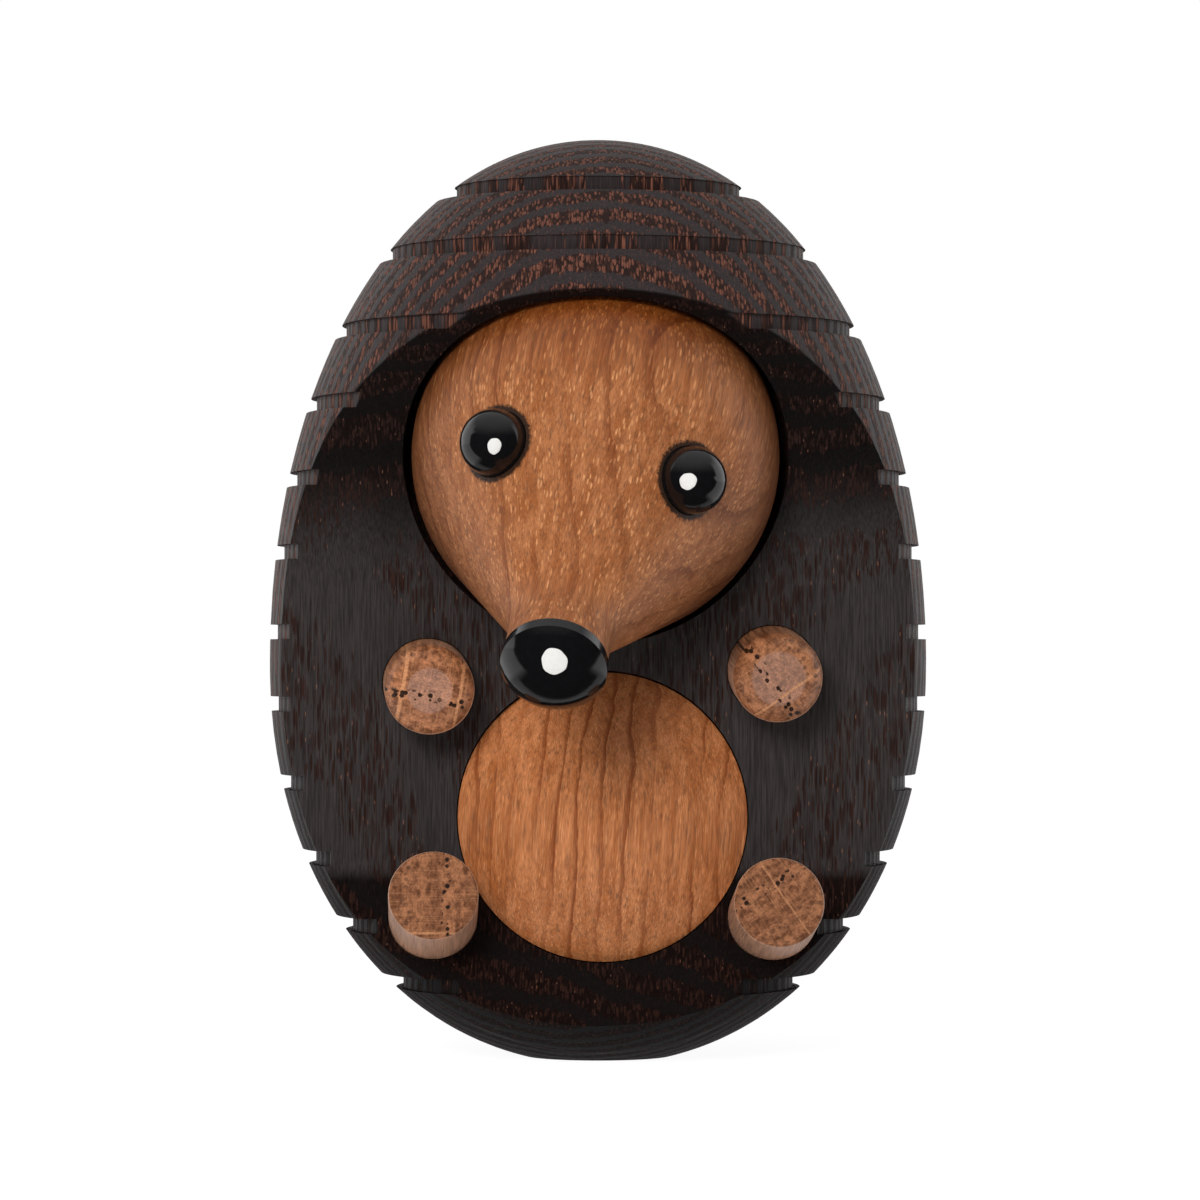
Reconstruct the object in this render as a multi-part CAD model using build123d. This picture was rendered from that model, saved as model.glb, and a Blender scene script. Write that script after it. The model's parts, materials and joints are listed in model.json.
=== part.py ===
from build123d import *
import math
import os

# Wooden hedgehog, in millimetres. The origin is the middle of the flat foot,
# +Z is up and the animal looks along -Y. Left and right are its own.

# Body: an egg turned about the upright axis
EGG_RADIUS = 30.0
EGG_HEIGHT = 83.7
WAIST_HEIGHT = 35.7
EGG_FULLNESS = 2.08  # power of the outline: 2 is an ellipse, more is fuller
FOOT_RADIUS = 6.7
OUTLINE_STEP = 6.0  # degrees between the points of the outline's curve

# Turned grooves, cut straight in from the side: each one's share of the height and of the
# full depth, which the hood's grooves don't reach
GROOVES = (
    (0.084, 1), (0.147, 1), (0.219, 1), (0.300, 1), (0.385, 1), (0.463, 1),
    (0.549, 1), (0.628, 1), (0.709, 0.8), (0.789, 0.6), (0.872, 0.3), (0.940, 0.3),
)
GROOVE_WIDTH = 1.35
GROOVE_DEPTH = 0.65  # at the shallower edge

# Scooped front: an upright wall that curves forward into the hood and the lap
WALL_FORWARD = 9.5
WALL_LOW = 20.3
WALL_HIGH = 41.0
LAP_RADIUS = 27.5
HOOD_RADIUS = 36.0

# Head: a ball that runs out into a snout; the ball's centre is its pivot
HEAD_RADIUS = 16.46
HEAD_SIDE = -0.22
HEAD_HEIGHT = 54.44
HEAD_PROUD = 1.7  # the pivot, in front of the wall
HEAD_LEAN = 10.7  # how far the head leans to the animal's left
SNOUT_DROP = 40.0  # below level
SNOUT_LENGTH = 28.9  # from the ball's centre to the snout's flat end
SNOUT_RADIUS = 4.45
NECK_LENGTH = 4.5
NECK_ROUND = 6.0

# Cup for the head, bored slanting up, and the two magnets that hold the head
CUP_GAP = 0.85
CUP_DROP = 30.0  # how far the cup's axis points down from level
MAGNET_RADIUS = 4.0
MAGNET_THICKNESS = 3.0
MAGNET_MARGIN = 1.2  # flat wood around the head's magnet
MAGNET_GAP = 0.1
GLUE_GAP = 0.05  # around every glued piece

# Eyes: black beads with straight stems, set square to the cheeks
EYE_ALONG = 11.8  # along the snout from the ball's centre
EYE_AROUND = 45.4  # around the snout, from its top
EYE_RADIUS = 3.0
EYE_PROUD = 0.25  # the bead's middle, above the cheek
EYE_SINK = 4.0

# Nose: a black domed button with a stem
NOSE_RADIUS = 4.6
NOSE_EDGE = 1.0
NOSE_RISE = 2.6
NOSE_STEM_RADIUS = 2.0
NOSE_STEM_LENGTH = 6.0

# Belly: a domed disc in a round recess below the cup
BELLY_RADIUS = 13.0
BELLY_SIDE = 0.4
BELLY_TILT = 4.0  # faces up from level
BELLY_SINK = 4.0
BELLY_RISE = 4.2
BELLY_GAP = 0.12
BELLY_BRIDGE = 1.98  # wood between the cup and the recess

# Limbs: dowels in blind holes around the belly
PEG_RADIUS = 4.0
PEG_SINK = 5.0
PEG_GAP = 0.1
ARM_REACH = 7.5
ARM_ROUND = 1.9
FOOT_REACH = 8.0
FOOT_ROUND = 0.3

# Each limb's bearing from the belly's middle, the wood between its hole and the belly's
# recess, and how it points: up from level and, seen from above, anticlockwise from forward
ARM_LEFT = {"bearing": 40.7, "bridge": 2.9, "rise": -6.0, "swing": 3.0}
ARM_RIGHT = {"bearing": 142.7, "bridge": 2.5, "rise": -5.0, "swing": 3.5}
FOOT_LEFT = {"bearing": -30.3, "bridge": 0.45, "rise": 12.0, "swing": 2.5}
FOOT_RIGHT = {"bearing": 210.2, "bridge": 0.35, "rise": 16.0, "swing": 2.0}


# The outline runs from the foot's edge, below 0 degrees, to the crown at 90; below the waist it
# is the part of a taller curve that the foot cuts off
foot_angle = -math.degrees(math.acos((FOOT_RADIUS / EGG_RADIUS) ** (EGG_FULLNESS / 2)))
rise_above = EGG_HEIGHT - WAIST_HEIGHT
fall_below = WAIST_HEIGHT / math.sin(math.radians(-foot_angle)) ** (2 / EGG_FULLNESS)


def egg_point(angle):
    """Radius and height on the egg's outline."""
    power = 2 / EGG_FULLNESS
    turn = math.radians(abs(angle))
    reach = rise_above if angle > 0 else -fall_below
    return EGG_RADIUS * math.cos(turn) ** power, WAIST_HEIGHT + reach * math.sin(turn) ** power


def egg_radius(height):
    """The egg's radius at a height."""
    rise = height - WAIST_HEIGHT
    away = rise / rise_above if rise > 0 else -rise / fall_below
    return EGG_RADIUS * (1 - away**EGG_FULLNESS) ** (1 / EGG_FULLNESS)


def egg():
    """The turned egg with its flat foot."""
    steps = round((90 - foot_angle) / OUTLINE_STEP)
    angles = [foot_angle + (90 - foot_angle) * i / steps for i in range(steps)]
    points = [egg_point(angle) for angle in angles] + [(0, EGG_HEIGHT)]
    outline = Spline(*points)
    back = Polyline(points[-1], (0, 0), points[0])
    return revolve(Plane.XZ * make_face([outline, back]), Axis.Z)


def groove(share, fullness):
    """A ring cutter at a share of the height, with a level top and bottom and an upright floor."""
    height = share * EGG_HEIGHT
    edges = [egg_radius(height - GROOVE_WIDTH / 2), egg_radius(height + GROOVE_WIDTH / 2)]
    floor = min(edges) - GROOVE_DEPTH * fullness
    outside = max(edges) + GROOVE_DEPTH
    section = Pos((floor + outside) / 2, height) * Rectangle(outside - floor, GROOVE_WIDTH)
    return revolve(Plane.XZ * section, Axis.Z)


def scoop():
    """The cutter of the front, the same from side to side."""
    clear = -2 * EGG_RADIUS
    lap = (-WALL_FORWARD - LAP_RADIUS, WALL_LOW)
    hood = (-WALL_FORWARD - HOOD_RADIUS, WALL_HIGH)
    top = WALL_HIGH + HOOD_RADIUS
    bottom = WALL_LOW - LAP_RADIUS
    edges = [
        CenterArc(lap, LAP_RADIUS, -90, 90),
        Line((-WALL_FORWARD, WALL_LOW), (-WALL_FORWARD, WALL_HIGH)),
        CenterArc(hood, HOOD_RADIUS, 0, 90),
        Polyline((hood[0], top), (clear, top), (clear, bottom), (lap[0], bottom)),
    ]
    return extrude(Plane.YZ * make_face(edges), amount=EGG_RADIUS, both=True)


def wall_forward(height):
    """How far the scooped front lies in front of the upright axis."""
    past, radius = max((height - WALL_HIGH, HOOD_RADIUS), (WALL_LOW - height, LAP_RADIUS))
    past = max(past, 0)
    return WALL_FORWARD + radius - math.sqrt(radius**2 - past**2)


def wall_place(side, height, rise, swing):
    """A place on the front whose Z axis points out of the wood."""
    facing = Rot(0, 0, swing) * Rot(90 - rise, 0, 0)
    return Pos(side, -wall_forward(height), height) * facing


def rod(radius, low, high):
    """A round bar along Z."""
    return Pos(0, 0, low) * Cylinder(radius, high - low, align=(Align.CENTER, Align.CENTER, Align.MIN))


def dome(radius, low, rim, rise):
    """A round disc along Z with a domed top above its rim."""
    ball = (radius**2 + rise**2) / (2 * rise)
    middle = rim + rise - ball
    start = math.degrees(math.atan2(rim - middle, radius))
    cap = CenterArc((0, middle), ball, start, 90 - start)
    sides = Polyline((0, rim + rise), (0, low), (radius, low), (radius, rim))
    return revolve(Plane.XZ * make_face([cap, sides]), Axis.Z)


# The snout's and the cup's frames share the pivot as origin, with Z along the snout and Z
# backwards and up into the cup
drop = math.radians(SNOUT_DROP)
slant = math.radians(CUP_DROP)
pivot = Pos(HEAD_SIDE, -WALL_FORWARD - HEAD_PROUD, HEAD_HEIGHT)
ahead = Plane((0, 0, 0), x_dir=(1, 0, 0), z_dir=(0, -math.cos(drop), -math.sin(drop)))
backwards = Plane((0, 0, 0), x_dir=(1, 0, 0), z_dir=(0, math.cos(slant), math.sin(slant)))
snout_place = pivot * Rot(0, HEAD_LEAN, 0) * ahead.location
cup_place = pivot * backwards.location

# Fits that several pieces share
head_flat = math.sqrt(HEAD_RADIUS**2 - (MAGNET_RADIUS + MAGNET_MARGIN) ** 2)
cup_radius = HEAD_RADIUS + CUP_GAP
cup_seat = head_flat + MAGNET_GAP
cup_low = HEAD_HEIGHT - math.sqrt(cup_radius**2 - HEAD_PROUD**2)
recess_radius = BELLY_RADIUS + BELLY_GAP
hole_radius = PEG_RADIUS + PEG_GAP
belly_height = cup_low - BELLY_BRIDGE - recess_radius

# Cheek: a cone that leaves the ball smoothly and ends at the neck; the corner is (radius, along)
neck_corner = (SNOUT_RADIUS, SNOUT_LENGTH - NECK_LENGTH)
neck_reach = math.hypot(*neck_corner)
cheek = math.atan2(neck_corner[1], neck_corner[0]) - math.acos(HEAD_RADIUS / neck_reach)


def teardrop():
    """The head's turned form along its snout: ball, cone and neck."""
    ball = CenterArc((0, 0), HEAD_RADIUS, -90, 90 + math.degrees(cheek))
    front = Polyline(ball @ 1, neck_corner, (SNOUT_RADIUS, SNOUT_LENGTH), (0, SNOUT_LENGTH), ball @ 0)
    outline = make_face([ball, front])
    corner = outline.vertices().sort_by_distance(neck_corner)[0]
    return revolve(Plane.XZ * fillet(corner, NECK_ROUND), Axis.Z)


def eye_place(side):
    """Where an eye sits on the cheek's cone, in the snout's frame; side is 1 or -1."""
    around = side * math.radians(EYE_AROUND)
    radius = (HEAD_RADIUS - EYE_ALONG * math.sin(cheek)) / math.cos(cheek)
    spot = (radius * math.sin(around), radius * math.cos(around), EYE_ALONG)
    outward = (math.cos(cheek) * math.sin(around), math.cos(cheek) * math.cos(around), math.sin(cheek))
    return Plane(spot, z_dir=outward).location


def eye():
    """A black bead on its stem along Z, with Z = 0 on the cheek."""
    return dome(EYE_RADIUS, -EYE_SINK, EYE_PROUD, EYE_RADIUS)


def nose():
    """The button on the snout's end, in the snout's frame."""
    button = dome(NOSE_RADIUS, SNOUT_LENGTH, SNOUT_LENGTH + NOSE_EDGE, NOSE_RISE)
    return button + rod(NOSE_STEM_RADIUS, SNOUT_LENGTH - NOSE_STEM_LENGTH, SNOUT_LENGTH)


def head():
    """The head with holes for the eyes, the nose's stem and the magnet."""
    form = teardrop()
    form -= rod(NOSE_STEM_RADIUS + GLUE_GAP, SNOUT_LENGTH - NOSE_STEM_LENGTH, SNOUT_LENGTH)
    for side in (1, -1):
        form -= eye_place(side) * rod(EYE_RADIUS + GLUE_GAP, -EYE_SINK, EYE_RADIUS)
    form = snout_place * form
    form -= cup_place * rod(HEAD_RADIUS, head_flat, HEAD_RADIUS)
    return form - cup_place * rod(MAGNET_RADIUS + GLUE_GAP, head_flat - MAGNET_THICKNESS, head_flat)


def cup():
    """The cutter of the cup: a ball with a flat seat, and a magnet's pocket."""
    ball = Sphere(cup_radius, -90, math.degrees(math.asin(cup_seat / cup_radius)))
    return cup_place * (ball + rod(MAGNET_RADIUS + GLUE_GAP, 0, cup_seat + MAGNET_THICKNESS))


def peg(reach, rounding):
    """A limb's dowel along Z, with Z = 0 where it leaves the wall."""
    bar = rod(PEG_RADIUS, -PEG_SINK, reach)
    return fillet(bar.edges().sort_by(Axis.Z)[-1], rounding)


def limb_place(bearing, bridge, rise, swing):
    """Where a limb leaves the wall, beside the belly's recess."""
    away = recess_radius + bridge + hole_radius
    turn = math.radians(bearing)
    side = BELLY_SIDE + away * math.cos(turn)
    height = belly_height + away * math.sin(turn)
    return wall_place(side, height, rise, swing)


belly_place = wall_place(BELLY_SIDE, belly_height, BELLY_TILT, 0)
arms = {"arm_left": limb_place(**ARM_LEFT), "arm_right": limb_place(**ARM_RIGHT)}
feet = {"foot_left": limb_place(**FOOT_LEFT), "foot_right": limb_place(**FOOT_RIGHT)}


def body():
    """The egg with its grooves, scooped front, cup, belly recess and limb holes."""
    form = egg() - [groove(share, fullness) for share, fullness in GROOVES]
    form -= scoop()
    form -= cup()
    form -= belly_place * rod(recess_radius, -BELLY_SINK, BELLY_RADIUS)
    for place in (*arms.values(), *feet.values()):
        form -= place * rod(hole_radius, -PEG_SINK, PEG_SINK)
    return form


nodes = {
    "body": body(),
    "belly": belly_place * dome(BELLY_RADIUS, -BELLY_SINK, 0, BELLY_RISE),
    "socket_magnet": cup_place * rod(MAGNET_RADIUS, cup_seat, cup_seat + MAGNET_THICKNESS),
    "head": head(),
    "head_magnet": cup_place * rod(MAGNET_RADIUS, head_flat - MAGNET_THICKNESS, head_flat),
    "nose": snout_place * nose(),
    "eye_left": snout_place * eye_place(1) * eye(),
    "eye_right": snout_place * eye_place(-1) * eye(),
}
nodes.update({name: place * peg(ARM_REACH, ARM_ROUND) for name, place in arms.items()})
nodes.update({name: place * peg(FOOT_REACH, FOOT_ROUND) for name, place in feet.items()})

os.makedirs("parts", exist_ok=True)
for name, shape in nodes.items():
    export_step(shape, f"parts/{name}.step")
    print(name, round(shape.volume), "mm3")
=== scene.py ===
# %% [markdown]
# # A turned wooden hedgehog
# The figure is an egg of smoked oak with grooves for its spines, scooped out in front. A pale
# oak head sits in a cup, a pale domed disc is its belly, and four dowels are its limbs.
# The solids are already right in size and place, so this lesson is about their looks: how two
# oaks, black lacquer and soft light are made from formulas, with no pictures.

# %% Load the solids
import json
import math

import bpy
import numpy as np
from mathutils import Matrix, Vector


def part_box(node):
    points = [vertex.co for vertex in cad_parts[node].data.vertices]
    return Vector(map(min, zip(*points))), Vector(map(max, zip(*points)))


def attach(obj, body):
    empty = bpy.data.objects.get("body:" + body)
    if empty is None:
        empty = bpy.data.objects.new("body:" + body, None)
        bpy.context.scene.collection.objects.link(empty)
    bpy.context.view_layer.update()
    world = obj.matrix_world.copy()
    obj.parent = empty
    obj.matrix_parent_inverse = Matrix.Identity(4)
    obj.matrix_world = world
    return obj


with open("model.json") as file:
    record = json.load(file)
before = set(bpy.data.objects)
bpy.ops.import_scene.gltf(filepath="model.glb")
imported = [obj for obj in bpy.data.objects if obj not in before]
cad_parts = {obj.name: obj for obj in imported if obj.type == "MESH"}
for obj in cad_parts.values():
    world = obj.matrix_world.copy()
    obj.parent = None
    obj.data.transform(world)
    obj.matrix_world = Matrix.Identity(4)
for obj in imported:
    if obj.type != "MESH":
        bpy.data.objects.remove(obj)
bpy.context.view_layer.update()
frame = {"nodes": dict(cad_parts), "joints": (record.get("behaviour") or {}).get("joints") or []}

solids = frame["nodes"]
MM = 0.001
print("pieces:", ", ".join(sorted(solids)))

# %% [markdown]
# ## The camera
# A small thing photographed from close by shows perspective, so the distance matters as much as
# the angle. The camera stands level, 0.48 m in front, a little below the figure's middle. A long
# lens fills the frame, and a small shift puts the figure where the picture has it without
# tipping the camera, which would make the upright lines lean.

# %% Camera
IMAGE_PIXELS = 1200
SENSOR = 36.0
FOCAL_PIXELS = 5262.0
EYE_LEVEL_PIXEL = 656.0  # the row that lies level with the camera
MIDDLE_PIXEL = 598.0  # the column of the egg's upright axis

camera_data = bpy.data.cameras.new("camera")
camera_data.sensor_width = SENSOR
camera_data.lens = FOCAL_PIXELS / IMAGE_PIXELS * SENSOR
camera_data.shift_y = (EYE_LEVEL_PIXEL - IMAGE_PIXELS / 2) / IMAGE_PIXELS
camera_data.shift_x = (IMAGE_PIXELS / 2 - MIDDLE_PIXEL) / IMAGE_PIXELS
camera_data.clip_start = 0.01
camera = bpy.data.objects.new("camera", camera_data)
camera.location = (0, -0.482, 0.03655)
camera.rotation_euler = (math.radians(90), 0, 0)
bpy.context.scene.collection.objects.link(camera)
bpy.context.scene.camera = camera
print("lens", round(camera_data.lens, 1), "mm")

# %% [markdown]
# ## Nodes in few words
# A material is a small network. Four helpers keep each network short: one makes any node and
# fills its sockets with numbers or links, one does sums, one makes cloudy noise in a stretched
# space, and one blends two colours. Wood needs stretched space most of all, since its fibres and
# vessels are long in one direction and thin in the other two.


# %% Helpers for nodes
def node(tree, kind, inputs=(), **settings):
    """A node of that kind; inputs maps a socket's name or number to a value or a link."""
    made = tree.nodes.new(kind)
    for name, value in settings.items():
        setattr(made, name, value)
    for socket, value in dict(inputs).items():
        if isinstance(value, bpy.types.NodeSocket):
            tree.links.new(value, made.inputs[socket])
        else:
            made.inputs[socket].default_value = value
    return made


def calc(tree, operation, *values, clamp=False):
    """The result of a sum on numbers or links."""
    made = node(tree, "ShaderNodeMath", enumerate(values), operation=operation, use_clamp=clamp)
    return made.outputs[0]


def ramp(tree, value, low, high, to_low=0.0, to_high=1.0):
    """A smooth step of a value, from one level at low to another at high."""
    sockets = {"Value": value, "From Min": low, "From Max": high, "To Min": to_low, "To Max": to_high}
    return node(tree, "ShaderNodeMapRange", sockets, interpolation_type="SMOOTHSTEP").outputs[0]


def stretched(tree, place, sizes, shift=0.0):
    """A place divided by the pattern's size along each axis, so that one cell is one unit."""
    scale = tuple(1 / size for size in sizes)
    return node(tree, "ShaderNodeMapping", {0: place, 1: (shift, shift, shift), 3: scale}).outputs[0]


def cloud(tree, place, sizes, detail=2.0, rough=0.5, shift=0.0):
    """Cloudy noise from 0 to 1, with cells of those sizes."""
    sockets = {"Vector": stretched(tree, place, sizes, shift), "Scale": 1.0, "Detail": detail, "Roughness": rough}
    return node(tree, "ShaderNodeTexNoise", sockets).outputs[0]


def blend(tree, amount, first, second, how="MIX"):
    """Two colours mixed by an amount from 0 to 1."""
    made = node(tree, "ShaderNodeMix", {0: amount, 6: first, 7: second}, data_type="RGBA", blend_type=how)
    return made.outputs[2]


def finish(name):
    """A new material's tree and its shader."""
    material = bpy.data.materials.new(name)
    material.use_nodes = True
    return material, material.node_tree, material.node_tree.nodes["Principled BSDF"]


def paint(piece, material):
    """Gives a piece one material."""
    piece.data.materials.clear()
    piece.data.materials.append(material)


print("helpers ready")

# %% [markdown]
# ## How oak is built
# Oak is ring porous. Each year starts with a row of wide vessels, open tubes along the trunk, and
# ends with dense fibres. Cut along the trunk, a vessel is a short stroke; cut across, it is a
# pore. So the pattern is made in the wood's own space, in millimetres: x across the rings, y
# along them, z along the trunk. Whatever cut the solid has, the right figure shows on it.


# %% Oak in its own space
def wood_space(tree, turn=(0, 0, 0), origin=(0, 0, 0)):
    """Object coordinates in millimetres, moved to an origin and turned into the wood's space."""
    place = node(tree, "ShaderNodeTexCoord").outputs["Object"]
    sockets = {0: place, 1: tuple(MM * c for c in origin), 2: tuple(map(math.radians, turn)), 3: (MM, MM, MM)}
    return node(tree, "ShaderNodeMapping", sockets, vector_type="TEXTURE").outputs[0]


def vessels(tree, place, sizes, reach, shift=0.0):
    """Long thin cells: how deep a point lies in its vessel, 0 to 1, and a random number for each."""
    sockets = {"Vector": stretched(tree, place, sizes, shift), "Scale": 1.0}
    cells = node(tree, "ShaderNodeTexVoronoi", sockets)
    inside = calc(tree, "SUBTRACT", 1.0, calc(tree, "DIVIDE", cells.outputs["Distance"], reach))
    chance = node(tree, "ShaderNodeSeparateColor", {0: cells.outputs["Color"]}).outputs[0]
    return calc(tree, "MAXIMUM", inside, 0.0), chance


print("oak ready")

# %% [markdown]
# ## Smoked oak for the egg
# The dark oak has been smoked, so its dense late wood is nearly black with a grey sheen, and the
# vessels of the early wood stay reddish brown. The board's rings lie across the depth of the
# figure: that gives nested arches on the hood, close bands where the scoop curves forward, and a
# plain dark wall. The rings also twist a little from top to bottom, so the bands below slant.
# Some light is painted into the colour too: paler copies where the outer skin is lit, darker
# copies as painted shade in the scoop and low in front, a painted grey sheen on the flat wall, and
# a painted glint on a few vessels.

# %% Smoked oak
RING = 1.75  # mm from one dark band to the next
TWIST_LOW = 0.185  # sideways slant of the rings at the foot
TWIST_RATE = -0.0027  # and how it changes with each millimetre up
WALL, WALL_HIGH, HOOD_RADIUS = -9.5, 41.0, 36.0  # mm, the flat wall and the curve above it
# Each colour comes as a darker copy and a paler copy. The darker copy is painted shade for the scoop and the egg low in
# front. The paler copy is painted light for the outer skin.
LATE_SHADED = (0.0050, 0.0037, 0.0036, 1)
LATE_LIT = (0.0265, 0.0200, 0.0205, 1)
# painted sheen: the grey that the flat wall takes where it faces the front
WALL_SHEEN = (0.0310, 0.0268, 0.0260, 1)
EARLY_SHADED = (0.0058, 0.0028, 0.0023, 1)
EARLY_LIT = (0.0190, 0.0092, 0.0076, 1)
VESSEL_SHADED = (0.0210, 0.0090, 0.0066, 1)
VESSEL_LIT = (0.1400, 0.0540, 0.0350, 1)
GLINT = (0.200, 0.0850, 0.0480, 1)


def smoked_oak():
    material, tree, shader = finish("smoked_oak")
    place = wood_space(tree)
    x, y, z = node(tree, "ShaderNodeSeparateXYZ", {0: place}).outputs
    slant = calc(tree, "MULTIPLY_ADD", z, TWIST_RATE, TWIST_LOW)
    depth = calc(tree, "MULTIPLY_ADD", x, slant, y)
    sway = calc(tree, "SUBTRACT", cloud(tree, place, (9, 9, 40), 2), 0.5)
    shiver = calc(tree, "SUBTRACT", cloud(tree, place, (0.5, 0.5, 5), 3), 0.5)
    depth = calc(tree, "MULTIPLY_ADD", sway, 1.8, depth)
    depth = calc(tree, "MULTIPLY_ADD", shiver, 0.9, depth)
    year = calc(tree, "FRACT", calc(tree, "MULTIPLY_ADD", depth, 1 / RING, 20.15))
    late = calc(tree, "MULTIPLY", ramp(tree, year, 0.50, 0.60), ramp(tree, year, 1.0, 0.94))

    past = calc(tree, "MAXIMUM", calc(tree, "SUBTRACT", z, WALL_HIGH), 0.0)
    arc = calc(tree, "SQRT", calc(tree, "MAXIMUM", calc(tree, "SUBTRACT", HOOD_RADIUS**2, calc(tree, "MULTIPLY", past, past)), 0.0))
    from_scoop = calc(tree, "ABSOLUTE", calc(tree, "SUBTRACT", y, calc(tree, "ADD", arc, WALL - HOOD_RADIUS)))
    # painted light and shade: the outer skin gets the paler copies, and the scoop and the egg low in front get the
    # darker ones
    lit_reach = calc(tree, "MAXIMUM", ramp(tree, z, 24, 40), ramp(tree, y, -8, 4))
    lit_skin = calc(tree, "MULTIPLY", ramp(tree, from_scoop, 0.1, 0.35), lit_reach)
    # painted sheen: where the flat wall faces the front, its colour is lifted to grey
    flat = calc(tree, "MULTIPLY", ramp(tree, from_scoop, 0.3, 0.1), ramp(tree, calc(tree, "MULTIPLY_ADD", sway, 14.0, z), 57, 42, 0, 0.9))
    flat = calc(tree, "MULTIPLY", flat, ramp(tree, calc(tree, "ABSOLUTE", calc(tree, "SUBTRACT", y, WALL)), 3.0, 0.3))

    inside, chance = vessels(tree, place, (0.22, 0.46, 2.0), ramp(tree, late, 0, 1, 0.66, 0.42))
    stroke = calc(tree, "MULTIPLY", ramp(tree, inside, 0.05, 0.4), ramp(tree, chance, -0.05, 0.8))
    stroke = calc(tree, "MULTIPLY", stroke, ramp(tree, late, 0, 1, 1.0, 0.20))
    # painted glint: a few vessels shine as bright orange points
    bright, glint = vessels(tree, place, (0.20, 0.34, 0.9), 0.34, 7.3)
    glint = calc(tree, "MULTIPLY", ramp(tree, bright, 0.1, 0.5), ramp(tree, glint, 0.84, 0.95))
    glint = calc(tree, "MULTIPLY", glint, ramp(tree, late, 0, 1, 0.5, 0.03))
    fibre = cloud(tree, place, (0.11, 0.11, 3.0), 3, 0.6)

    inner = blend(tree, flat, blend(tree, late, EARLY_SHADED, LATE_SHADED), WALL_SHEEN)
    base = blend(tree, lit_skin, inner, blend(tree, late, EARLY_LIT, LATE_LIT))
    base = blend(tree, stroke, base, blend(tree, lit_skin, VESSEL_SHADED, VESSEL_LIT))
    base = blend(tree, glint, base, GLINT)
    tone = blend(tree, ramp(tree, fibre, 0.25, 0.75), (0.55, 0.55, 0.57, 1), (1.45, 1.42, 1.4, 1))
    tree.links.new(blend(tree, 1.0, base, tone, "MULTIPLY"), shader.inputs["Base Color"])

    tree.links.new(ramp(tree, z, 14, 34, 0.09, 0.18), shader.inputs["Specular IOR Level"])
    rough = ramp(tree, late, 0, 1, 0.60, 0.46)
    tree.links.new(calc(tree, "MULTIPLY_ADD", fibre, 0.14, rough), shader.inputs["Roughness"])
    height = calc(tree, "MULTIPLY_ADD", stroke, -1.0, calc(tree, "MULTIPLY", fibre, 0.6))
    bump = node(tree, "ShaderNodeBump", {"Height": height, "Distance": 0.06 * MM, "Strength": 0.7})
    tree.links.new(bump.outputs[0], shader.inputs["Normal"])
    return material


paint(solids["body"], smoked_oak())
print("egg smoked")

# %% [markdown]
# ## Oiled oak for the head and the belly
# The same species without smoke: warm brown, with pale dashes where vessels are cut open at a
# slant, their walls' sheen painted in, grey brown flecks between them and thin reddish lines where
# one year meets the next. The head was turned on a lathe with the grain along its snout, so all
# its lines run together at the nose, and where the cone cuts through a ring they bend in a U. The
# belly's grain is upright. A little of the black paint has crept onto the wood around each eye.
# The head is darker towards its back, painted shade where it sits in the cup, and darker on top,
# painted shade under the hood.

# %% Oiled oak
from mathutils import Matrix

PALE = (0.400, 0.150, 0.056, 1)
WARM = (0.285, 0.090, 0.026, 1)
FLECK = (0.120, 0.052, 0.026, 1)
LINE = (0.170, 0.042, 0.010, 1)
DASH_SHEEN = (0.660, 0.300, 0.125, 1)
HOOD_SHADE = (0.540, 0.350, 0.110, 1)
CUP_SHADE_TINT = (0.380, 0.330, 0.280, 1)
STAIN = (0.012, 0.008, 0.006, 1)


def turned(*steps):
    """The Euler angles, in degrees, of turns made one after another about the named axes."""
    whole = Matrix.Identity(3)
    for axis, angle in steps:
        whole = whole @ Matrix.Rotation(math.radians(angle), 3, axis)
    return [math.degrees(angle) for angle in whole.to_euler()]


def near(tree, place, spot):
    """How far a place is from a spot."""
    return node(tree, "ShaderNodeVectorMath", {0: place, 1: spot}, operation="DISTANCE").outputs["Value"]


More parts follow.
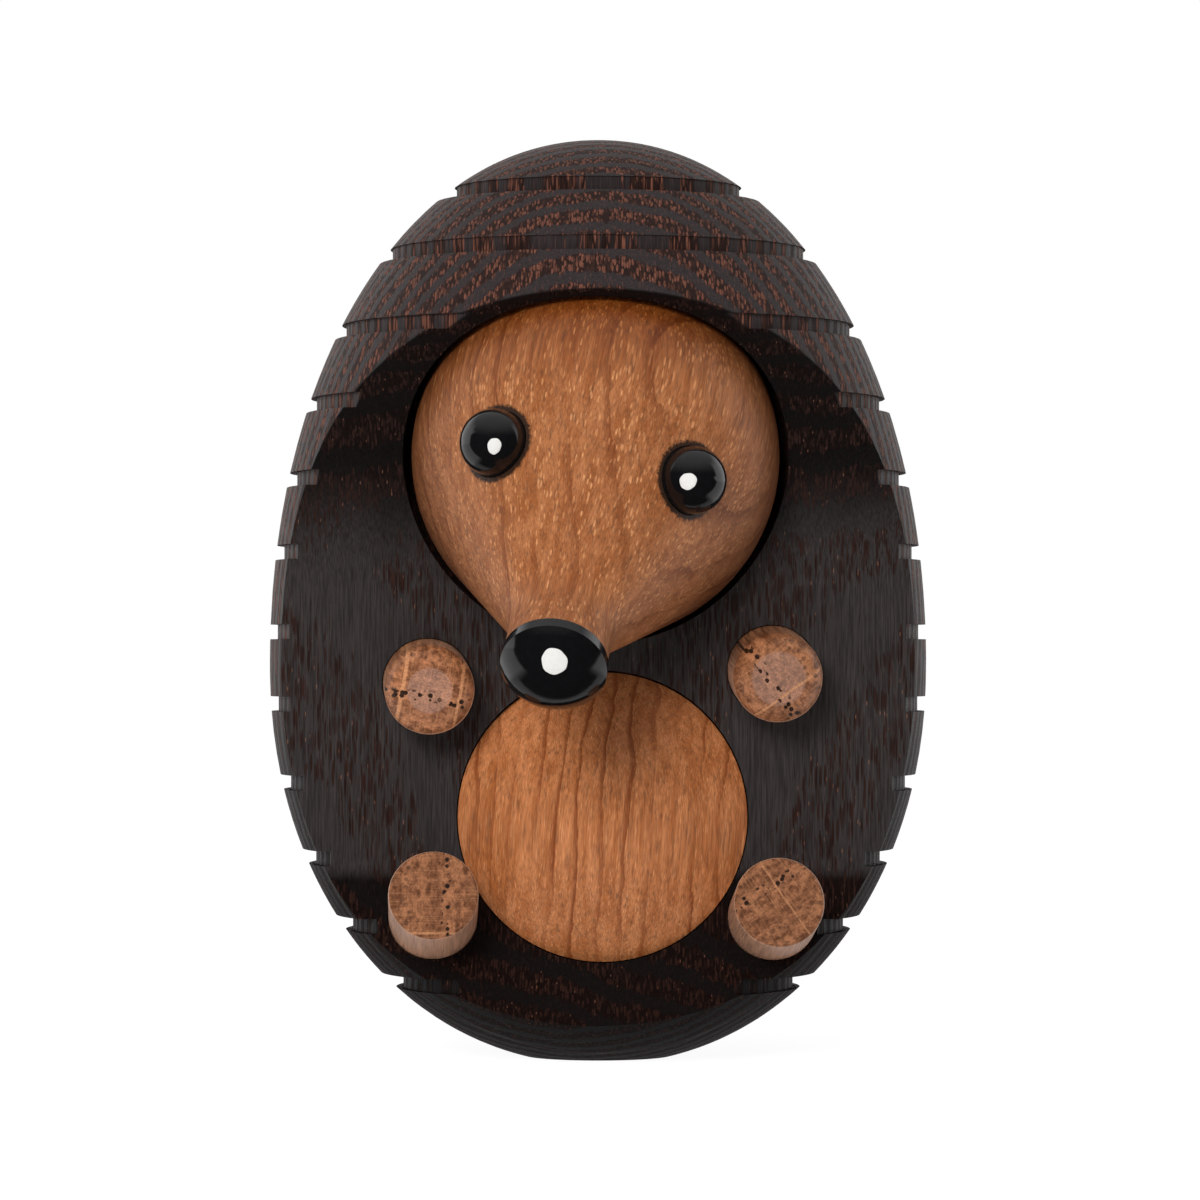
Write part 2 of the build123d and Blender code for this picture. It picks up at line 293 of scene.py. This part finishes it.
def oiled_oak(name, turn, origin, level, ring, start, dashes, dashed, lined, shade_height=99.0, cup_shade=0.0, stains=(), shift=0.0):
    """Oak of a brightness, with rings from start on; dashes is the size of its vessels."""
    material, tree, shader = finish(name)
    plain = wood_space(tree)
    place = wood_space(tree, turn, origin)
    x, y, z = node(tree, "ShaderNodeSeparateXYZ", {0: place}).outputs
    sway = calc(tree, "SUBTRACT", cloud(tree, place, (6, 6, 16), 2, shift=shift), 0.5)
    shiver = calc(tree, "SUBTRACT", cloud(tree, place, (0.6, 0.6, 5), 3, shift=shift), 0.5)
    across = calc(tree, "MULTIPLY_ADD", sway, 3.0, x)
    across = calc(tree, "MULTIPLY_ADD", shiver, 0.5, across)
    year = calc(tree, "FRACT", calc(tree, "MULTIPLY_ADD", across, 1 / ring, 20.0 - start / ring))
    line = calc(tree, "MULTIPLY", ramp(tree, year, 0.70, 0.97), ramp(tree, year, 1.0, 0.98))
    line = calc(tree, "MULTIPLY", line, ramp(tree, cloud(tree, place, (5, 5, 18), 1, shift=shift + 3), 0.3, 0.6))

    streak = cloud(tree, place, (0.9, 0.9, 18), 4, 0.65, shift)
    fleck = cloud(tree, place, (0.28, 0.28, 1.9), 3, 0.6, shift + 1)
    fibre = cloud(tree, place, (0.10, 0.10, 2.6), 3, 0.65, shift)
    inside, chance = vessels(tree, place, dashes, 0.55, shift)
    dash = calc(tree, "MULTIPLY", ramp(tree, inside, 0.05, 0.5), ramp(tree, chance, 0.40, 0.85))
    dash = calc(tree, "MULTIPLY", dash, ramp(tree, year, 0.9, 0.3, 0.45, 0.95))

    base = blend(tree, ramp(tree, streak, 0.36, 0.66), PALE, WARM)
    hair = cloud(tree, place, (0.26, 0.26, 22), 3, 0.6, shift + 4)
    base = blend(tree, ramp(tree, hair, 0.52, 0.72, 0, 0.45), base, FLECK)
    base = blend(tree, ramp(tree, fleck, 0.52, 0.72, 0, 0.6), base, FLECK)
    base = blend(tree, calc(tree, "MULTIPLY", line, lined), base, LINE)
    # the pale dashes are cut vessels, and the sheen of their walls is painted into their colour
    base = blend(tree, calc(tree, "MULTIPLY", dash, dashed), base, DASH_SHEEN)
    _, depth, height = node(tree, "ShaderNodeSeparateXYZ", {0: plain}).outputs
    # painted shade: the head darkens towards its back, where it sits in the cup
    base = blend(tree, ramp(tree, depth, -24, -12, 0.0, cup_shade), base, CUP_SHADE_TINT, "MULTIPLY")
    # painted shade: the top of the head, under the hood, is darkened and warmed
    top = ramp(tree, calc(tree, "MULTIPLY_ADD", sway, 4.0, height), shade_height - 8, shade_height + 4)
    base = blend(tree, top, base, HOOD_SHADE, "MULTIPLY")
    for spot in stains:
        crept = calc(tree, "MULTIPLY_ADD", cloud(tree, plain, (0.35, 0.35, 0.35), 3, 0.7), 0.9, near(tree, plain, spot))
        base = blend(tree, ramp(tree, crept, 4.10, 3.80, 0, 0.94), base, STAIN)
    tone = blend(tree, ramp(tree, fibre, 0.28, 0.72), (0.72 * level, 0.71 * level, 0.70 * level, 1), (1.24 * level, 1.24 * level, 1.24 * level, 1))
    tree.links.new(blend(tree, 1.0, base, tone, "MULTIPLY"), shader.inputs["Base Color"])

    tree.links.new(calc(tree, "MULTIPLY_ADD", fibre, 0.16, 0.40), shader.inputs["Roughness"])
    shader.inputs["Specular IOR Level"].default_value = 0.3
    relief = calc(tree, "MULTIPLY_ADD", dash, -0.6, calc(tree, "MULTIPLY", fibre, 0.6))
    bump = node(tree, "ShaderNodeBump", {"Height": relief, "Distance": 0.04 * MM, "Strength": 0.6})
    tree.links.new(bump.outputs[0], shader.inputs["Normal"])
    return material


hinge = frame["joints"][0]
PIVOT = [c / MM for c in hinge["pos_m"]]
HEAD_LEAN = 10.7  # degrees that the head leans to its left
GRAIN_DROP = 58.0  # degrees that its grain points down
EYES = {"eye_right": (-9.03, -25.89, 55.04), "eye_left": (8.20, -25.89, 51.78)}
belly_low, belly_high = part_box("belly")
BELLY_MIDDLE = [(a + b) / 2 / MM for a, b in zip(belly_low, belly_high)]
along_snout = turned(("Y", HEAD_LEAN), ("X", 90 + GRAIN_DROP), ("Z", 45))
head_oak = oiled_oak("head_oak", along_snout, PIVOT, 0.91, 2.9, 8.6, (0.24, 0.24, 1.4), 0.75, 0.75, 66.0, 0.9, EYES.values())
belly_oak = oiled_oak("belly_oak", (0, 4, -8), BELLY_MIDDLE, 1.13, 2.0, 0.6, (0.18, 0.18, 1.2), 0.30, 0.95, shift=11.0)
paint(solids["head"], head_oak)
paint(solids["belly"], belly_oak)
print("head and belly oiled")

# %% [markdown]
# ## Dowels
# A dowel is cut along the trunk, so its end is a cross cut: a row of black pores, pale lines where
# the broad rays run from the tree's middle to its bark, and faint rings between. Each dowel was
# cut from another place in its rod, so each gets its own turn and its own start in the pattern.
# The flat ends of the arms carry a painted grey sheen, and the feet's upturned ends painted shade.
# The sides are paler long grain with painted light added.

# %% Dowels
END_PALE = (0.410, 0.165, 0.074, 1)
END_DARK = (0.125, 0.040, 0.014, 1)
END_SHEEN = (0.345, 0.200, 0.150, 1)
SIDE_GRAIN_LIT = (0.620, 0.340, 0.220, 1)
RAY = (0.540, 0.245, 0.110, 1)
PORE = (0.010, 0.004, 0.002, 1)
END_RING = 3.5  # mm from one row of pores to the next


def dowel_oak(name, turn, origin, level, flat, pore_row, rays, shift):
    """Oak seen on its end; flat is the radius of the painted grey sheen, pore_row and rays are places."""
    material, tree, shader = finish(name)
    place = wood_space(tree, turn, origin)
    x, y, z = node(tree, "ShaderNodeSeparateXYZ", {0: place}).outputs
    radius = calc(tree, "SQRT", calc(tree, "MULTIPLY_ADD", x, x, calc(tree, "MULTIPLY", y, y)))
    sway = calc(tree, "SUBTRACT", cloud(tree, place, (3, 3, 30), 2, shift=shift), 0.5)
    across = calc(tree, "MULTIPLY_ADD", sway, 0.9, x)
    year = calc(tree, "FRACT", calc(tree, "MULTIPLY_ADD", across, 1 / END_RING, 20.15 - pore_row / END_RING))
    row = calc(tree, "MULTIPLY", ramp(tree, year, 0.0, 0.05), ramp(tree, year, 0.34, 0.24))
    main = ramp(tree, calc(tree, "ABSOLUTE", calc(tree, "SUBTRACT", x, pore_row)), 2.4, 1.2, 0.45, 1.0)

    mottle = cloud(tree, place, (0.55, 0.9, 8), 4, 0.65, shift)
    fibre = cloud(tree, place, (0.14, 0.22, 4), 3, 0.6, shift)
    thin = cloud(tree, place, (2.6, 0.15, 9), 2, 0.5, shift + 2)
    inside, chance = vessels(tree, place, (0.48, 0.48, 12), 0.54, shift)
    pore = calc(tree, "MULTIPLY", ramp(tree, inside, 0.08, 0.28), ramp(tree, chance, 0.30, 0.34))
    pore = calc(tree, "MULTIPLY", pore, calc(tree, "MULTIPLY", row, main))
    beam = 0.0
    for at, half in rays:
        wobble = calc(tree, "SUBTRACT", calc(tree, "MULTIPLY_ADD", sway, 0.25, y), at)
        beam = calc(tree, "MAXIMUM", beam, ramp(tree, calc(tree, "ABSOLUTE", wobble), half, half * 0.55))

    base = blend(tree, ramp(tree, mottle, 0.34, 0.66), END_DARK, END_PALE)
    base = blend(tree, calc(tree, "MULTIPLY", row, 0.30), base, END_PALE)
    base = blend(tree, calc(tree, "MULTIPLY", ramp(tree, year, 0.45, 1.0), 0.45), base, END_DARK)
    base = blend(tree, calc(tree, "MULTIPLY", ramp(tree, thin, 0.48, 0.68), 0.3), base, RAY)
    # painted sheen: the flat end of an arm turns grey where it faces the front
    base = blend(tree, ramp(tree, radius, flat + 0.12, flat - 0.12, 0.0, 0.45), base, END_SHEEN)
    base = blend(tree, calc(tree, "MULTIPLY", beam, 0.7), base, RAY)
    base = blend(tree, calc(tree, "MULTIPLY", pore, 0.95), base, PORE)
    # the sides are paler long grain, brightened further as painted light for the lit undersides
    base = blend(tree, ramp(tree, radius, 3.90, 3.97, 0.0, 0.85), base, SIDE_GRAIN_LIT)
    tone = blend(tree, ramp(tree, fibre, 0.28, 0.72), (0.70 * level, 0.69 * level, 0.68 * level, 1), (1.24 * level, 1.24 * level, 1.24 * level, 1))
    tree.links.new(blend(tree, 1.0, base, tone, "MULTIPLY"), shader.inputs["Base Color"])

    tree.links.new(calc(tree, "MULTIPLY_ADD", fibre, 0.16, 0.36), shader.inputs["Roughness"])
    height = calc(tree, "MULTIPLY_ADD", pore, -2.0, calc(tree, "MULTIPLY", fibre, 0.35))
    bump = node(tree, "ShaderNodeBump", {"Height": height, "Distance": 0.05 * MM, "Strength": 0.6})
    tree.links.new(bump.outputs[0], shader.inputs["Normal"])
    return material


# The feet's lower levels are painted shade on their ends, which tilt up away from the light.
DOWELS = {
    "arm_right": {"points": (-5, 3.5, 80), "level": 1.05, "flat": 2.0, "pore_row": -0.75, "rays": [(2.4, 0.21), (-2.7, 0.17)]},
    "arm_left": {"points": (-6, 3, 36), "level": 0.90, "flat": 2.4, "pore_row": -0.75, "rays": [(-1.5, 0.14)]},
    "foot_right": {"points": (16, 2, 0), "level": 0.80, "flat": 0.0, "pore_row": 1.1, "rays": [(-3.4, 0.12)]},
    "foot_left": {"points": (12, 2.5, -56), "level": 0.76, "flat": 0.0, "pore_row": -1.65, "rays": [(0.6, 0.10)]},
}
for number, (limb, cut) in enumerate(DOWELS.items()):
    rise, swing, spin = cut.pop("points")
    low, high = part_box(limb)
    middle = [(a + b) / 2 / MM for a, b in zip(low, high)]
    out = turned(("Z", swing), ("X", 90 - rise), ("Z", spin))
    paint(solids[limb], dowel_oak(limb + "_oak", out, middle, shift=1.7 + 4.1 * number, **cut))
print("dowels cut:", ", ".join(DOWELS))

# %% [markdown]
# ## Black lacquer
# The eyes and the nose are black and glossy. Black shows no colour of its own, so all that is seen
# is what it mirrors: a pale rim where it meets the bright background, and dark where it faces the
# room. Brush marks and a little dust keep the gloss from being perfect.


# %% Black lacquer
def black_lacquer():
    material, tree, shader = finish("black_lacquer")
    place = wood_space(tree)
    ripple = cloud(tree, place, (1.2, 1.2, 1.2), 3, 0.5)
    dust = cloud(tree, place, (0.25, 0.25, 0.25), 2, 0.5, 4.0)
    tone = blend(tree, ramp(tree, dust, 0.55, 0.75), (0.0035, 0.0035, 0.004, 1), (0.007, 0.0065, 0.0065, 1))
    tree.links.new(tone, shader.inputs["Base Color"])
    tree.links.new(ramp(tree, ripple, 0.3, 0.75, 0.07, 0.16), shader.inputs["Roughness"])
    bump = node(tree, "ShaderNodeBump", {"Height": ripple, "Distance": 0.02 * MM, "Strength": 0.25})
    tree.links.new(bump.outputs[0], shader.inputs["Normal"])
    shader.inputs["IOR"].default_value = 1.45
    return material


lacquer = black_lacquer()
for bead in ("eye_left", "eye_right", "nose"):
    paint(solids[bead], lacquer)
print("lacquered the eyes and the nose")

# %% [markdown]
# ## White dots
# Each eye and the nose has a dot of thick white paint, set by hand where the light would catch a
# wet eye. A dot is a thin lens: a point at angle t down its profile lies sin(t) out from the
# dot's middle and cos(t) of its thickness above the bead, and the whole is wrapped on the bead's
# ball. Its edge wavers a little, as a dab from a brush does.

# %% White dots
EYE_BALL = 3.0
NOSE_BALL = 5.37
DOTS = {
    "eye_right_dot": {"middle": EYES["eye_right"], "ball": EYE_BALL, "toward": (0.10, -2.97, -0.42), "size": (0.60, 0.73)},
    "eye_left_dot": {"middle": EYES["eye_left"], "ball": EYE_BALL, "toward": (-0.45, -2.96, -0.19), "size": (0.77, 0.75)},
    "nose_dot": {"middle": (-3.46, -31.98, 37.30), "ball": NOSE_BALL, "toward": (-0.24, -5.22, -1.23), "size": (1.16, 1.14)},
}
DOT_THICK = 0.05  # mm above the bead


def dot(name, middle, ball, toward, size, rows=24, columns=64):
    """Lens on a ball: profile angle t from the top pole to the bottom, turned about the way it faces."""
    out = np.array(toward) / np.linalg.norm(toward)
    side = np.cross(out, (0, 0, 1))
    side = side / np.linalg.norm(side)
    up = np.cross(side, out)
    t = np.linspace(0, np.pi, rows + 1)[1:-1, None]
    turn = np.linspace(0, 2 * np.pi, columns, endpoint=False)[None]
    waver = 1 + 0.04 * np.sin(2 * turn + ball) + 0.03 * np.sin(3 * turn + 2 * ball) + 0.015 * np.sin(7 * turn)
    reach = np.sin(t) ** 0.6 * waver / ball
    height = ball + DOT_THICK * np.cos(t) + 0 * turn
    across, along = reach * size[0] * np.cos(turn), reach * size[1] * np.sin(turn)
    points = height[..., None] * unit(out + across[..., None] * side + along[..., None] * up)
    poles = np.array([out * (ball + DOT_THICK), out * (ball - DOT_THICK)])
    return closed_grid(name, np.concatenate([points.reshape(-1, 3), poles]) + middle, rows - 1, columns)


def unit(vectors):
    """Vectors of length one."""
    return vectors / np.linalg.norm(vectors, axis=-1, keepdims=True)


def closed_grid(name, points, rows, columns):
    """A ball-like mesh from rows of rings and two poles, in millimetres."""
    ring = np.arange(columns)
    after = (ring + 1) % columns
    top, bottom = rows * columns, rows * columns + 1
    step = np.arange(rows - 1)[:, None] * columns
    quads = np.stack([step + ring, step + columns + ring, step + columns + after, step + after], -1).reshape(-1, 4)
    last = (rows - 1) * columns
    caps = [(top, int(a), int(b)) for a, b in zip(ring, after)] + [(bottom, int(last + b), int(last + a)) for a, b in zip(ring, after)]
    mesh = bpy.data.meshes.new(name)
    mesh.from_pydata((points * MM).tolist(), [], quads.tolist() + caps)
    mesh.shade_smooth()
    piece = bpy.data.objects.new(name, mesh)
    bpy.context.scene.collection.objects.link(piece)
    return piece


def white_paint():
    material, tree, shader = finish("white_paint")
    place = wood_space(tree)
    grain = cloud(tree, place, (0.3, 0.3, 0.3), 3, 0.6)
    tone = blend(tree, grain, (0.60, 0.59, 0.56, 1), (0.72, 0.71, 0.69, 1))
    tree.links.new(tone, shader.inputs["Base Color"])
    tree.links.new(ramp(tree, grain, 0.3, 0.7, 0.35, 0.55), shader.inputs["Roughness"])
    return material


white = white_paint()
for name, shape in DOTS.items():
    piece = dot(name, **shape)
    paint(piece, white)
    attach(piece, "head")
print("dots painted:", ", ".join(DOTS))

# %% [markdown]
# ## Magnets
# Two nickel plated discs hold the head in its cup. They only show with the head taken out.


# %% Nickel
def nickel():
    material, tree, shader = finish("nickel")
    place = wood_space(tree)
    scuff = cloud(tree, place, (0.6, 0.6, 0.6), 4, 0.6)
    tone = blend(tree, scuff, (0.50, 0.49, 0.47, 1), (0.66, 0.65, 0.62, 1))
    tree.links.new(tone, shader.inputs["Base Color"])
    tree.links.new(ramp(tree, scuff, 0.3, 0.7, 0.18, 0.38), shader.inputs["Roughness"])
    shader.inputs["Metallic"].default_value = 1.0
    return material


plating = nickel()
for disc in ("head_magnet", "socket_magnet"):
    paint(solids[disc], plating)
print("plated the magnets")

# %% [markdown]
# ## Floor and light
# The figure stands on a pale floor against white. The camera sees the floor and the surroundings
# as white, while the rest of the scene gets a plain soft light: a wide lamp above and in front, a
# bright background behind and a dim room in front, which is what the black beads mirror.


# %% Floor
def pale_floor():
    material, tree, shader = finish("pale_floor")
    shader.inputs["Base Color"].default_value = (0.85, 0.85, 0.85, 1)
    shader.inputs["Roughness"].default_value = 0.9
    shader.inputs["Emission Color"].default_value = (1, 1, 1, 1)
    shader.inputs["Emission Strength"].default_value = 0.25
    dim = node(tree, "ShaderNodeBsdfDiffuse", {"Color": (0.16, 0.16, 0.16, 1)})
    glow = node(tree, "ShaderNodeEmission", {"Color": (1, 1, 1, 1), "Strength": 0.95})
    seen = node(tree, "ShaderNodeAddShader", {0: dim.outputs[0], 1: glow.outputs[0]})
    ray = node(tree, "ShaderNodeLightPath")
    place = node(tree, "ShaderNodeTexCoord").outputs["Object"]
    x, y, _ = node(tree, "ShaderNodeSeparateXYZ", {0: place}).outputs
    beside = calc(tree, "MULTIPLY", ramp(tree, calc(tree, "ABSOLUTE", x), 0.04, 0.07), ramp(tree, y, -0.055, -0.045, 0.0, 1.0))
    shown = calc(tree, "MAXIMUM", beside, ramp(tree, y, -0.024, -0.018, 0.02, 0.45))
    edge = node(tree, "ShaderNodeEmission", {"Color": (1, 1, 1, 1), "Strength": shown})
    mirrored = node(tree, "ShaderNodeMixShader", {0: ray.outputs["Is Glossy Ray"], 1: shader.outputs[0], 2: edge.outputs[0]})
    mixed = node(tree, "ShaderNodeMixShader", {0: ray.outputs["Is Camera Ray"], 1: mirrored.outputs[0], 2: seen.outputs[0]})
    tree.links.new(mixed.outputs[0], tree.nodes["Material Output"].inputs["Surface"])
    return material


FLOOR_HALF = 1.5
corners = np.array([(-1, -1, 0), (1, -1, 0), (1, 1, 0), (-1, 1, 0)]) * FLOOR_HALF
floor_mesh = bpy.data.meshes.new("floor")
floor_mesh.from_pydata(corners.tolist(), [], [(0, 1, 2, 3)])
floor = bpy.data.objects.new("floor", floor_mesh)
bpy.context.scene.collection.objects.link(floor)
paint(floor, pale_floor())
print("floor laid")


# %% Light
def soft_lamp(name, place, aim, size, power):
    """A square lamp at a place, turned to face a point."""
    data = bpy.data.lights.new(name, "AREA")
    data.size = size
    data.energy = power
    lamp = bpy.data.objects.new(name, data)
    lamp.location = place
    lamp.visible_glossy = False
    toward = np.subtract(aim, place)
    toward = toward / np.linalg.norm(toward)
    lamp.rotation_euler = (math.acos(-toward[2]), 0, math.atan2(toward[1], toward[0]) - math.pi / 2)
    bpy.context.scene.collection.objects.link(lamp)
    return lamp


MIDDLE = (0, 0, 0.042)
soft_lamp("key", (-0.20, -0.73, 0.31), MIDDLE, 0.26, 5.2)
soft_lamp("fill", (0.20, -0.76, 0.06), MIDDLE, 0.50, 0.6)

world = bpy.data.worlds.new("room")
bpy.context.scene.world = world
world.use_nodes = True
sky = world.node_tree
sky.nodes.clear()
direction = node(sky, "ShaderNodeTexCoord").outputs["Generated"]
_, behind, above = node(sky, "ShaderNodeSeparateXYZ", {0: direction}).outputs
ray = node(sky, "ShaderNodeLightPath")
walls = ramp(sky, ray.outputs["Is Glossy Ray"], 0, 1, 0.12, 1.35)
walls = calc(sky, "MULTIPLY", ramp(sky, behind, -0.10, -0.03, 0.02, 1.0), walls)
walls = calc(sky, "MULTIPLY", walls, ramp(sky, above, 0.85, 0.45, 0.25, 1.0))
bright = calc(sky, "MAXIMUM", walls, ramp(sky, above, 0.25, 1.0, 0.0, 0.7))
strength = node(sky, "ShaderNodeMix", {0: ray.outputs["Is Camera Ray"], 2: bright, 3: 1.0}, data_type="FLOAT").outputs[0]
background = node(sky, "ShaderNodeBackground", {"Color": (1, 1, 1, 1), "Strength": strength})
out = node(sky, "ShaderNodeOutputWorld", {0: background.outputs[0]})
bpy.context.scene.view_settings.view_transform = "Standard"
print("lamps lit")
